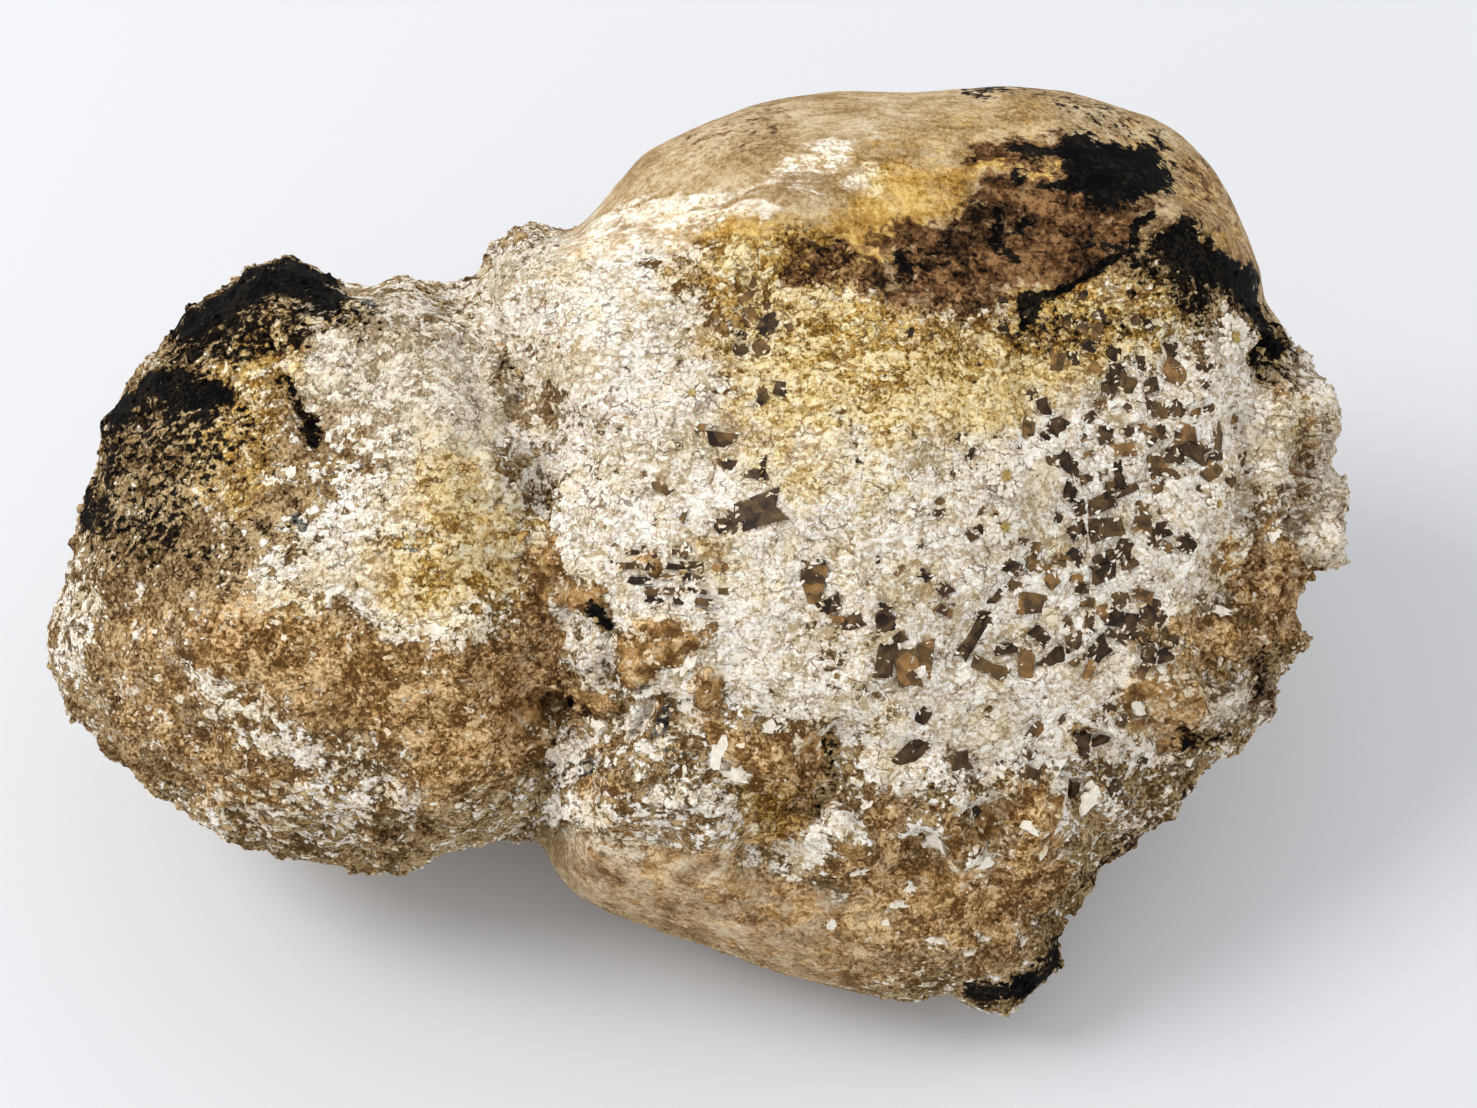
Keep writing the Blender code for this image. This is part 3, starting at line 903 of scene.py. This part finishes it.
def frames_on(normals, spins, tilts, leanings):
    """Rotation matrices whose z is the normal tilted a little; x starts along the face and is spun."""
    along = np.array(FACE.to_3x3().col[0])
    x_axes = along - (normals @ along)[:, None] * normals
    x_axes /= np.linalg.norm(x_axes, axis=1, keepdims=True)
    facing = np.stack([x_axes, np.cross(normals, x_axes), normals], axis=2)
    zero, one = np.zeros(len(spins)), np.ones(len(spins))

    def about_z(angles):
        cos, sin = np.cos(angles), np.sin(angles)
        return np.array([[cos, -sin, zero], [sin, cos, zero], [zero, zero, one]]).transpose(2, 0, 1)

    cos, sin = np.cos(tilts), np.sin(tilts)
    tilt = np.array([[one, zero, zero], [zero, cos, -sin], [zero, sin, cos]]).transpose(2, 0, 1)
    return facing @ about_z(leanings) @ tilt @ about_z(spins - leanings)


def above_stone(picks, heights):
    """Places over the stone's points, at heights along its broad normals."""
    return stone_points[picks] + broad_normals[picks] * heights[:, None]


def scatter(rng, weights, count, gap):
    """Indices of stone points, picked by weight, none in the same gap-sized (mm) cell as another."""
    tried = min(count * 4, int((weights > 0).sum()))
    picks = rng.choice(len(weights), size=tried, replace=False, p=weights / weights.sum())
    cells = np.floor(stone_points[picks] / (gap * MM)).astype(np.int64)
    _, first = np.unique(cells @ np.array([1, 4096, 4096 * 4096]), return_index=True)
    return picks[np.sort(first)[:count]]


def shares_at(indices):
    return {name: values[indices] for name, values in stone_shares.items()}


def shard_outlines(rng, halves, slimness, corners=5):
    """Ragged outlines of a few corners around an ellipse."""
    count = len(halves)
    angles = np.sort(rng.uniform(0.0, TURN, (count, corners)), axis=1)
    angles = 0.55 * angles + 0.45 * np.linspace(0.0, TURN, corners, endpoint=False)
    radii = rng.uniform(0.6, 1.15, (count, corners))
    outline = np.stack([np.cos(angles) * radii, np.sin(angles) * radii * slimness[:, None]], axis=2)
    return outline * halves[:, None, None]


def brown_crystals():
    """Notched tablets, half sunk in their pits; also what the frayed rims need."""
    rng = np.random.default_rng(SEEDS["crystals"])
    count = len(crystal_rows)
    picks = np.array([stone_at(row[:2]) for row in crystal_rows])
    lengths, widths = crystal_rows[:, 2] * PIXEL, crystal_rows[:, 3] * PIXEL
    corners = np.array([(1, 1), (0, 1), (-1, 1), (-1, 0), (-1, -1), (0, -1), (1, -1), (1, 0)], float)
    outlines = corners[None] * np.column_stack([lengths, widths])[:, None, :]
    outlines[:, ::2] *= rng.uniform(0.72, 1.3, (count, 4, 2))
    outlines[:, 1::2] = 0.5 * (outlines[:, ::2] + np.roll(outlines[:, ::2], -1, axis=1))
    notched = rng.uniform(0.0, 1.0, (count, 4, 1)) < 0.4
    outlines[:, 1::2] *= 1.0 - notched * rng.uniform(0.1, 0.38, (count, 4, 1))
    tilts = np.radians(rng.uniform(0.0, 9.0, count))
    frames = frames_on(broad_normals[picks], -crystal_rows[:, 4], tilts, rng.uniform(0.0, TURN, count))
    centres = above_stone(picks, rng.uniform(0.2, 0.42, count) * MM)
    tablets = prisms("brown_crystals", outlines, 0.8 * widths + 0.4 * MM, centres, frames,
                     rng.uniform(0.0, 1.0, count), shares_at(picks))
    return tablets, outlines, centres, frames, picks


def frayed_rims(outlines, centres, frames, picks):
    """Slim pale shards that reach in over each crystal face's border."""
    rng = np.random.default_rng(SEEDS["rims"])
    shards = {"centres": [], "spins": [], "halves": [], "picks": []}
    for outline, centre, frame_matrix, pick in zip(outlines, centres, frames, picks):
        for start, end in zip(outline, np.roll(outline, -1, axis=0)):
            if rng.uniform() < 0.5:
                spot = start + rng.uniform(0.0, 1.0) * (end - start)
                spot = spot * (1.0 - rng.uniform(-0.15, 0.22))
                place = centre + frame_matrix @ np.array([*spot, rng.uniform(0.02, 0.1) * MM])
                shards["centres"].append(place)
                shards["spins"].append(math.atan2(*spot[::-1]) + rng.normal(0.0, 0.6))
                shards["halves"].append(rng.uniform(0.22, 0.55) * MM)
                shards["picks"].append(pick)
    shards = {key: np.array(values) for key, values in shards.items()}
    rng = np.random.default_rng(SEEDS["rim frames"])
    count = len(shards["picks"])
    tilts, leanings = np.radians(rng.uniform(0, 14, count)), rng.uniform(0, TURN, count)
    shards["frames"] = frames_on(broad_normals[shards["picks"]], shards["spins"], tilts, leanings)
    return shards


def crust_flakes(rims):
    """The frayed rims and many loose flakes of the pale coat."""
    rng = np.random.default_rng(SEEDS["flakes"])
    weights = (1.0 - stone_shares["bare"]) ** 2 * (0.1 + stone_shares["frost"] ** 1.5) * clear_of_floor
    weights *= np.clip(1.0 - 0.8 * stone_shares["black_and_shadow"], 0.0, 1.0)
    patches = smoothstep(-0.3, 0.4, field(stone_points, "flake patches")) + 0.1
    weights *= patches * (1.0 - stone_shares["pit"])
    picks = scatter(rng, weights, FLAKES, FLAKE_GAP)
    count = len(picks)
    halves = 0.2 * np.exp(rng.exponential(0.55, count)).clip(1.0, 5.0) * MM
    spins = field(stone_points[picks], "flake spins") * math.pi + rng.normal(0, 0.5, count)
    tilts = np.radians(rng.uniform(2, 20, count))
    frames = frames_on(broad_normals[picks], spins, tilts, rng.uniform(0, TURN, count))
    centres = above_stone(picks, rng.uniform(0.0, 0.14, count) * MM)
    outlines = shard_outlines(rng, halves, rng.uniform(0.3, 0.8, count))
    rim_outlines = shard_outlines(rng, rims["halves"], rng.uniform(0.25, 0.6, len(rims["halves"])))
    thicknesses = np.concatenate([halves * 0.8, rims["halves"] * 0.5 + 0.2 * MM])
    picks = np.concatenate([picks, rims["picks"]])
    shares = shares_at(picks)
    shares["frost"] = np.clip(shares["frost"] + 0.3, 0.0, 1.0)
    return prisms("crust_flakes", np.concatenate([outlines, rim_outlines]), thicknesses,
                  np.concatenate([centres, rims["centres"]]), np.concatenate([frames, rims["frames"]]),
                  rng.uniform(0, 1, len(picks)), shares)


def icosahedron():
    form = bmesh.new()
    bmesh.ops.create_icosphere(form, subdivisions=1, radius=1.0)
    points = np.array([v.co[:] for v in form.verts])
    faces = [tuple(v.index for v in face.verts) for face in form.faces]
    form.free()
    return points, faces


def crust_grains():
    """Stubby crystalline grains half sunk in the crust, thickest on its brown and amber parts."""
    rng = np.random.default_rng(SEEDS["grains"])
    bare, frost, pit, clean, black_and_shadow = (stone_shares[name] for name in ("bare", "frost", "pit", "clean", "black_and_shadow"))
    weights = (1.0 - bare) ** 2 * np.clip(1.0 - frost, 0.02, 1.0) ** 1.5 * (1.0 - pit)
    weights *= clear_of_floor * (1.0 - 0.85 * clean) * np.clip(1.0 - black_and_shadow, 0.1, 1.0)
    weights *= smoothstep(-0.4, 0.3, field(stone_points, "grain patches")) + 0.12
    picks = scatter(rng, weights, GRAINS, GRAIN_GAP)
    count = len(picks)
    base, faces = icosahedron()
    shapes = base[None] * rng.uniform(0.72, 1.2, (count, len(base), 1))
    halves = 0.26 * np.exp(rng.exponential(0.3, count)).clip(1.0, 2.4) * MM
    stretch = [rng.uniform(low, high, count) for low, high in ((0.8, 1.5), (0.7, 1.1), (0.6, 1.0))]
    shapes = shapes * (np.stack(stretch, axis=1) * halves[:, None])[:, None, :]
    spins, tilts = rng.uniform(0, TURN, count), np.radians(rng.uniform(0, 50, count))
    frames = frames_on(broad_normals[picks], spins, tilts, rng.uniform(0, TURN, count))
    centres = above_stone(picks, halves * rng.uniform(-0.6, 0.05, count))
    tones = rng.uniform(0, 1, count)
    return scattered("crust_grains", shapes, faces, centres, frames, tones, shares_at(picks))


def blade_rosettes():
    """Rings of pale petals around a golden heart."""
    rng = np.random.default_rng(SEEDS["rosettes"])
    outlines, centres, frames, picks, hearts = [], [], [], [], []
    for place, radius in ROSETTES:
        pick = stone_at(place)
        for ring, (share, blades, tilt, size) in enumerate(RINGS):
            lean = np.array(Matrix.Rotation(math.radians(-tilt), 3, "Y"))
            for blade in range(blades):
                angle = TURN * (blade + 0.5 * ring) / blades + rng.normal(0, 0.12)
                half = radius * PIXEL * size * rng.uniform(0.85, 1.15)
                basis = frames_on(broad_normals[pick][None], np.array([angle]), np.zeros(1), np.zeros(1))[0]
                outlines.append(np.array(PETAL) * half * rng.uniform(0.75, 1.25, (len(PETAL), 2)))
                rise = (0.42 + 0.1 * ring) * MM
                centres.append(stone_points[pick] + basis @ np.array([share * radius * PIXEL, 0.0, rise]))
                frames.append(basis @ lean)
                picks.append(pick)
                hearts.append(float(ring == len(RINGS) - 1))
    shares = {name: np.zeros(len(picks)) for name in stone_shares}
    shares["frost"] = 1.0 - 0.85 * np.array(hearts)
    shares["gold"] = np.array(hearts)
    return prisms("blade_rosettes", np.array(outlines), np.full(len(picks), 0.3 * MM), np.array(centres),
                  np.array(frames), rng.uniform(0.4, 1, len(picks)), shares)


def pale_chips():
    rng = np.random.default_rng(SEEDS["chips"])
    lengths, widths, turns, places = zip(*PALE_CHIPS)
    lengths, widths = np.array(lengths), np.array(widths)
    count, corners = len(lengths), 14
    picks = np.array([stone_at(place) for [place] in places])
    tilts = np.radians(rng.uniform(2.0, 13.0, count))
    frames = frames_on(broad_normals[picks], np.radians(turns), tilts, rng.uniform(0.0, TURN, count))
    centres = above_stone(picks, rng.uniform(0.12, 0.28, count) * MM)
    outlines = shard_outlines(rng, lengths * PIXEL, widths / lengths, corners)
    outlines *= np.where(rng.uniform(0.0, 1.0, (count, corners, 1)) < 0.3, 0.6, 1.08)
    shares = {name: np.zeros(count) for name in stone_shares}
    tones = rng.uniform(0, 1, count)
    return prisms("pale_chips", outlines, np.full(count, 0.9 * MM), centres, frames, tones, shares)


crystals, *rim_source = brown_crystals()
flakes = crust_flakes(frayed_rims(*rim_source))
grains = crust_grains()
rosettes = blade_rosettes()
chips = pale_chips()


# ---- materials

class Nodes:
    """A small helper that adds shader nodes and links their inputs. Lengths are in mm."""

    def __init__(self, name):
        self.material = bpy.data.materials.new(name)
        self.material.use_nodes = True
        self.tree = self.material.node_tree
        self.shader = self.tree.nodes["Principled BSDF"]
        inputs = {0: self.add("ShaderNodeTexCoord").outputs["Object"], "Scale": 1.0 / MM}
        self.place = self.made("ShaderNodeVectorMath", 0, inputs, operation="SCALE")

    def add(self, kind, **settings):
        node = self.tree.nodes.new(kind)
        for key, value in settings.items():
            setattr(node, key, value)
        return node

    def set(self, socket, value):
        if isinstance(value, bpy.types.NodeSocket):
            self.tree.links.new(value, socket)
        else:
            socket.default_value = value

    def made(self, kind, output, inputs, **settings):
        """A new node's output, with its inputs linked or set."""
        node = self.add(kind, **settings)
        for key, value in inputs.items():
            self.set(node.inputs[key], value)
        return node.outputs[output]

    def finish(self, roughness, specular, height=None, distance=0.0, strength=1.0):
        """Sets the shader's roughness, specular level and any bump, whose distance is in mm."""
        self.set(self.shader.inputs["Roughness"], roughness)
        self.shader.inputs["Specular IOR Level"].default_value = specular
        if height is not None:
            inputs = {"Strength": strength, "Distance": distance * MM, "Height": height}
            self.set(self.shader.inputs["Normal"], self.made("ShaderNodeBump", "Normal", inputs))
        return self.material

    def math(self, operation, *values, clamp=False):
        return self.made("ShaderNodeMath", 0, dict(enumerate(values)), operation=operation, use_clamp=clamp)

    def times(self, value, *factors):
        for factor in factors:
            value = self.math("MULTIPLY", value, factor)
        return value

    def line(self, value, slope, start):
        return self.math("MULTIPLY_ADD", value, slope, start)

    def without(self, value, taken):
        return self.math("SUBTRACT", value, taken, clamp=True)

    def swing(self, value, amount, base=0.0):
        """value - 0.5, times amount, plus base."""
        return self.math("ADD", self.times(self.math("SUBTRACT", value, 0.5), amount), base)

    def swung(self, start, *swings):
        """The start, plus the swing of each value by its amount."""
        for value, amount in swings:
            start = self.math("ADD", start, self.swing(value, amount))
        return start

    def share(self, name):
        return self.add("ShaderNodeAttribute", attribute_name=name).outputs["Fac"]

    def shifted(self, shift, stretch=None):
        inputs = {0: self.place, 1: stretch or (1.0, 1.0, 1.0), 2: (shift, shift * 0.7, -shift)}
        return self.made("ShaderNodeVectorMath", 0, inputs, operation="MULTIPLY_ADD")

    def noise(self, wavelength, detail, roughness, distortion=0.0, shift=0.0, stretch=None, output="Fac"):
        return self.made("ShaderNodeTexNoise", output, {
            "Vector": self.shifted(shift, stretch), "Scale": 1.0 / wavelength,
            "Detail": detail, "Roughness": roughness, "Distortion": distortion,
        })

    def warped(self, wavelength, amount, shift=0.0, stretch=None):
        """The place, pushed about by noise."""
        push = self.noise(wavelength, 2.0, 0.6, 0.0, shift, output="Color")
        inputs = {0: push, 1: (amount, amount, amount), 2: self.shifted(shift, stretch)}
        return self.made("ShaderNodeVectorMath", 0, inputs, operation="MULTIPLY_ADD")

    def cells(self, place, size):
        """Two random levels of each angular cell."""
        inputs = {"Vector": place, "Scale": 1.0 / size}
        colour = self.made("ShaderNodeTexVoronoi", "Color", inputs, feature="F1")
        split = self.add("ShaderNodeSeparateColor")
        self.set(split.inputs["Color"], colour)
        return split.outputs["Red"], split.outputs["Green"]

    def cell_borders(self, place, size, low, high):
        """1 on the borders between angular cells, 0 away from them; the limits are in cell sizes."""
        inputs = {"Vector": place, "Scale": 1.0 / size}
        border = self.made("ShaderNodeTexVoronoi", "Distance", inputs, feature="DISTANCE_TO_EDGE")
        return self.threshold(border, high, low)

    def ramp(self, value, stops):
        node = self.add("ShaderNodeValToRGB")
        self.set(node.inputs["Fac"], value)
        elements = node.color_ramp.elements
        while len(elements) < len(stops):
            elements.new(0.5)
        for element, (position, levels) in zip(elements, stops):
            element.position = position
            element.color = srgb(*levels)
        return node.outputs["Color"]

    def mix(self, factor, a, b, blend="MIX"):
        node = self.add("ShaderNodeMix", data_type="RGBA", blend_type=blend)
        for key, value in (("Factor", factor), ("A", a), ("B", b)):
            self.set(node.inputs[key], value)
        return node.outputs["Result"]

    def threshold(self, value, low, high):
        inputs = {"Value": value, "From Min": low, "From Max": high}
        return self.made("ShaderNodeMapRange", "Result", inputs, interpolation_type="SMOOTHSTEP")


# Each zone's ground, from its shaded grains to its bright ones, in screen levels.
GROUNDS = {
    "tan": [(86, 62, 34), (152, 124, 84), (198, 172, 130)],
    "amber": [(96, 66, 32), (172, 130, 78), (234, 200, 150)],
    "gold": [(108, 74, 24), (180, 138, 66), (224, 190, 116)],
    "beige": [(146, 124, 95), (192, 172, 142), (220, 205, 180)],
    "bare": [(138, 110, 72), (178, 152, 113), (208, 189, 156)],
    "rust_and_shade": [(18, 10, 6), (86, 58, 34), (154, 114, 74)],
    "grey": [(30, 31, 29), (84, 85, 80), (150, 148, 140)],
    "black_and_shadow": [(0, 0, 0), (6, 5, 5), (34, 28, 20)],
}
# The pale coat's colours over those grounds, from painted shade in its hollows to its bright flakes.
FROSTS = {
    "white": [(188, 168, 136), (230, 218, 198), (252, 247, 237)],
    "beige": [(180, 163, 136), (214, 200, 176), (238, 229, 213)],
    "gold": [(150, 116, 56), (214, 184, 118), (244, 226, 178)],
    "amber": [(158, 122, 78), (214, 188, 148), (242, 228, 202)],
    "rust_and_shade": [(84, 56, 32), (144, 104, 64), (186, 146, 98)],
    "black_and_shadow": [(60, 44, 24), (132, 102, 56), (196, 170, 122)],
}
# CRACK_SHADOW is a painted shadow colour, for the gaps between the crust's flakes.
CREAM, CRACK_SHADOW, DUST = srgb(226, 200, 136), srgb(98, 70, 42), srgb(226, 212, 188)
CRYSTAL_BROWNS = [(0.15, (36, 25, 16)), (0.38, (68, 50, 32)), (0.62, (100, 76, 46)), (0.92, (152, 112, 66))]
BLADE_WHITES = [(0.2, (190, 175, 148)), (0.5, (232, 223, 205)), (0.8, (251, 247, 238))]
HEART_GOLDS = [(0.2, (118, 94, 44)), (0.5, (172, 146, 84)), (0.8, (212, 190, 132))]
FLOOR_COLOUR, FLOOR_HALF = srgb(215, 216, 219), 1.5
STUDIO_COLOUR, STUDIO_STRENGTH = (0.95, 0.972, 1.0, 1.0), 0.96
# The crust's noises: wavelength in mm, detail, roughness, distortion, shift in mm and stretch.
PATTERNS = {
    "fine": (0.5, 3.0, 0.65, 0.6),
    "middle": (2.3, 3.0, 0.62, 0.4, 5.0),
    "broad": (7.0, 2.0, 0.5, 0.0, 9.0),
    "streak": (1.6, 4.0, 0.6, 0.6, 51.0, (0.35, 1.0, 1.0)),
    "cream": (4.4, 2.0, 0.62, 0.5, 71.0),
}
# The sizes of the crust's angular cells, in mm.
SHARD_SIZE, SUGAR_SIZE, CHUNK_SIZE, CRACKED_SIZE = 0.8, 0.34, 1.5, 2.2
# How softly and how raggedly each zone's edge breaks up, and the wavelength of its ragged edge in mm.
EDGES = {
    "beige": (0.4, 0.5, 3.0),
    "amber": (0.35, 1.0, 2.2),
    "gold": (0.45, 0.8, 1.6),
    "rust_and_shade": (0.24, 1.1, 1.0),
    "grey": (0.15, 0.7, 1.2),
    "black_and_shadow": (0.16, 1.25, 0.8),
}


def layered(n, grain, tones, first, masks):
    """The zones' colours laid over each other by their masks."""
    stops = (0.25, 0.5, 0.78)
    colour = n.ramp(grain, list(zip(stops, tones[first])))
    for zone, mask in masks.items():
        if zone in tones:
            colour = n.mix(mask, colour, n.ramp(grain, list(zip(stops, tones[zone]))))
    return colour


def zone_masks(n):
    masks = {"bare": n.share("bare")}
    for index, (zone, (soft, ragged, wavelength)) in enumerate(EDGES.items()):
        edge = n.noise(wavelength, 3.0, 0.62, 0.5, 11.0 * (index + 1), (0.75, 1.0, 1.0))
        shown = n.threshold(n.swung(n.share(zone), (edge, 2.0 * ragged)), 0.5 - soft, 0.5 + soft)
        masks[zone] = n.times(shown, n.threshold(n.share(zone), 0.03, 0.25))
    return masks


def crust_material(name, lean=None):
    """Pale shredded frost over the zones' grounds. Small pieces, which have a lean, take one tone each."""
    n = Nodes(name)
    fine, middle, broad, streak, cream = (n.noise(*pattern) for pattern in PATTERNS.values())
    shred = n.warped(1.4, 0.55, 3.0, (0.8, 1.25, 1.0))
    shade, height = n.cells(shred, SHARD_SIZE)
    sugar, _ = n.cells(n.place, SUGAR_SIZE)
    chunk, _ = n.cells(n.warped(1.1, 0.9, 61.0), CHUNK_SIZE)
    bare, amber = n.share("bare"), n.share("amber")

    if lean is None:
        frost = n.math("ADD", n.share("frost"), n.swung(n.swing(shade, 0.42), (fine, 0.7), (middle, 1.7)))
    else:
        frost = n.math("ADD", n.share("frost"), n.swing(n.share("tone"), 0.9, lean))
    crisp = n.times(n.threshold(frost, 0.44, 0.56), n.math("SUBTRACT", 1.0, bare))
    soft = n.times(n.threshold(n.swung(n.share("frost"), (streak, 1.6)), 0.38, 0.78), bare)
    frost = n.math("ADD", crisp, soft)

    masks = zone_masks(n)
    plain = n.without(bare, n.share("rust_and_shade"))
    grain = n.swung(
        n.swing(fine, n.line(amber, -0.55, 1.1), 0.5),
        (middle, n.line(plain, -0.6, 1.1)),
        (broad, 0.8),
        (chunk, n.times(amber, 0.42)),
        (streak, n.times(bare, 0.8)),
        (sugar, n.line(n.math("MAXIMUM", bare, n.share("clean")), -0.4, 0.5)),
    )
    light = n.swung(n.swing(shade, 0.42, 0.54), (fine, 1.0), (broad, 0.8), (sugar, 0.5))
    creamy = n.times(n.threshold(cream, 0.5, 0.72), 0.42)
    pale = n.mix(creamy, layered(n, light, FROSTS, "white", masks), CREAM, "MULTIPLY")
    colour = n.mix(frost, layered(n, grain, GROUNDS, "tan", masks), pale)
    relief = n.math("ADD", n.times(fine, 0.75), n.times(middle, 0.8))
    if lean is None:
        # Painted shadow: dark brown lines along the cracked cell borders and the shred seams, standing in for
        # the shade that falls into the gaps between flakes.
        border = n.cell_borders(n.warped(1.3, 1.5, 41.0), CRACKED_SIZE, 0.02, 0.05)
        crack_shadow = n.times(border, n.threshold(streak, 0.48, 0.56))
        seam_shadow = n.times(n.cell_borders(shred, SHARD_SIZE, 0.03, 0.09), n.threshold(middle, 0.58, 0.42), 0.5)
        crack_shadow = n.times(n.math("MAXIMUM", crack_shadow, seam_shadow), n.line(bare, -0.7, 0.75))
        colour = n.mix(n.times(crack_shadow, n.without(1.0, n.share("black_and_shadow"))), colour, CRACK_SHADOW)
        relief = n.math("ADD", relief, n.times(height, 0.42))
        relief = n.times(n.math("ADD", relief, n.times(frost, 0.45)), n.line(bare, -0.78, 1.0))
    n.set(n.shader.inputs["Base Color"], colour)
    return n.finish(n.line(amber, -0.25, 0.8), 0.06, relief, 0.5)


def crystal_material():
    n = Nodes("brown barite")
    cloud = n.noise(1.4, 3.0, 0.6, 0.3)
    facet, _ = n.cells(n.place, 1.3)
    level = n.swung(n.swing(n.share("tone"), 0.5, 0.47), (cloud, 0.9), (facet, 0.4))
    dust = n.noise(1.1, 4.0, 0.62, 0.8, 31.0)
    colour = n.mix(n.threshold(dust, 0.63, 0.67), n.ramp(level, CRYSTAL_BROWNS), DUST)
    n.set(n.shader.inputs["Base Color"], colour)
    return n.finish(0.5, 0.15, dust, 0.12, 0.5)


def pale_material():
    """Clean white chips and petals; golden hearts."""
    n = Nodes("pale blades")
    cloud = n.swing(n.noise(0.7, 3.0, 0.6, 0.4), 0.9, 0.5)
    colour = n.mix(n.share("gold"), n.ramp(cloud, BLADE_WHITES), n.ramp(cloud, HEART_GOLDS))
    n.set(n.shader.inputs["Base Color"], colour)
    return n.finish(0.7, 0.1, cloud, 0.15, 0.6)


pale_blades = pale_material()
for piece, material in (
    (stone, crust_material("crust")),
    (crystals, crystal_material()),
    (flakes, crust_material("flakes", 0.35)),
    (grains, crust_material("grains", -0.12)),
    (rosettes, pale_blades),
    (chips, pale_blades),
):
    piece.data.materials.append(material)
    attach(piece, "root")
    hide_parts("hokutolite")


# ---- floor and light

def make_floor():
    mesh = bpy.data.meshes.new("floor")
    corners = [(x * FLOOR_HALF, y * FLOOR_HALF, 0) for x, y in ((-1, -1), (1, -1), (1, 1), (-1, 1))]
    mesh.from_pydata(corners, [], [(0, 1, 2, 3)])
    floor = add_object("floor", mesh)
    n = Nodes("pale floor")
    n.shader.inputs["Base Color"].default_value = FLOOR_COLOUR
    mesh.materials.append(n.finish(0.9, 0.0))


def add_key(place, target, size, watts, colour):
    data = bpy.data.lights.new("key", "AREA")
    data.shape = "DISK"
    data.size = size
    data.energy = watts
    data.color = colour
    light = add_object("key", data)
    light.location = place
    light.rotation_euler = (Vector(target) - Vector(place)).to_track_quat("-Z", "Y").to_euler()


make_floor()
add_key(place=(-0.75, -0.05, 0.95), target=(0, 0, 0.03), size=0.55, watts=7.6, colour=(1.0, 0.98, 0.95))
world = bpy.data.worlds.new("studio")
bpy.context.scene.world = world
world.use_nodes = True
studio = world.node_tree.nodes["Background"]
studio.inputs["Color"].default_value = STUDIO_COLOUR
studio.inputs["Strength"].default_value = STUDIO_STRENGTH
bpy.context.scene.view_settings.view_transform = "Standard"
bpy.context.scene.view_settings.look = "None"
